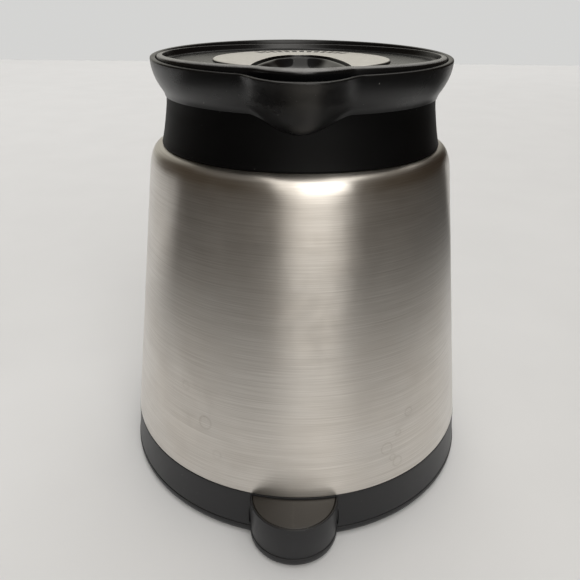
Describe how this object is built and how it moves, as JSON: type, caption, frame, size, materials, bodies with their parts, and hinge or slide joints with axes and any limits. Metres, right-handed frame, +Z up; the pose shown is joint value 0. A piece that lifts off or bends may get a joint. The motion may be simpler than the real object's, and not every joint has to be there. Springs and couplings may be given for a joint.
{
  "type": "thermal carafe",
  "caption": "Double-walled steel coffee carafe with flared plastic collar, pouring lip, lift-off push-button lid, D-handle and a plastic base with a round locating lug.",
  "frame": {"origin": "on the jug's axis, in the plane of the table it stands on", "axes": "+Z up the jug's axis, pouring lip and base lug towards -Y, handle towards +Y"},
  "size_m": [0.1391, 0.1947, 0.1563],
  "materials": {
    "steel_body": "fine circumferential brushing, satin",
    "steel_inner": "smooth drawn steel",
    "copper_foil": "dull foil",
    "braze": "brazed bead",
    "getter_metal": "sintered pellet",
    "base_plastic": "fine satin",
    "cap_plastic": "semi-gloss",
    "magnet": "ferrite",
    "pad_rubber": "matte",
    "screw_steel": "plated",
    "collar_plastic": "satin",
    "gasket_rubber": "translucent silicone",
    "handle_plastic": "satin",
    "grip_soft": "soft touch",
    "lid_plastic": "satin",
    "lid_metal": "satin",
    "stopper_plastic": "matte",
    "button_plastic": "glossy",
    "valve_plastic": "matte",
    "spring_steel": "drawn wire"
  },
  "bodies": {
    "jug": {"outer_shell": "steel_body", "inner_liner": "steel_inner", "radiation_foil": "copper_foil", "shell_bottom": "steel_inner", "vacuum_seal": "braze", "getter": "getter_metal", "base_ring": "base_plastic", "lug_cap": "cap_plastic", "lug_magnet": "magnet", "foot_cover": "base_plastic", "foot_ring": "pad_rubber", "base_screws": "screw_steel", "neck_band": "collar_plastic", "pour_ring": "collar_plastic", "mouth_gasket": "gasket_rubber", "handle_frame": "handle_plastic", "handle_grip": "grip_soft", "handle_screws": "screw_steel"},
    "lid": {"lid_shell": "lid_plastic", "lid_plate": "lid_metal", "stopper_body": "stopper_plastic", "stopper_gasket": "gasket_rubber", "lid_screws": "screw_steel", "valve_spring": "spring_steel"},
    "button": {"button_cap": "button_plastic", "valve_stem": "valve_plastic", "valve_disc": "valve_plastic", "valve_seal": "gasket_rubber", "stem_screw": "screw_steel"}
  },
  "joints": [
    {"name": "lid_lift", "type": "slide", "parent": "jug", "child": "lid", "axis": [0, 0, 1], "range_m": [0, 0.06]},
    {"name": "button_press", "type": "slide", "parent": "lid", "child": "button", "axis": [0, 0, -1], "range_m": [0, 0.0045], "stiffness_N_per_m": 900, "springref_m": -0.003, "deforming": ["valve_spring"]}
  ]
}
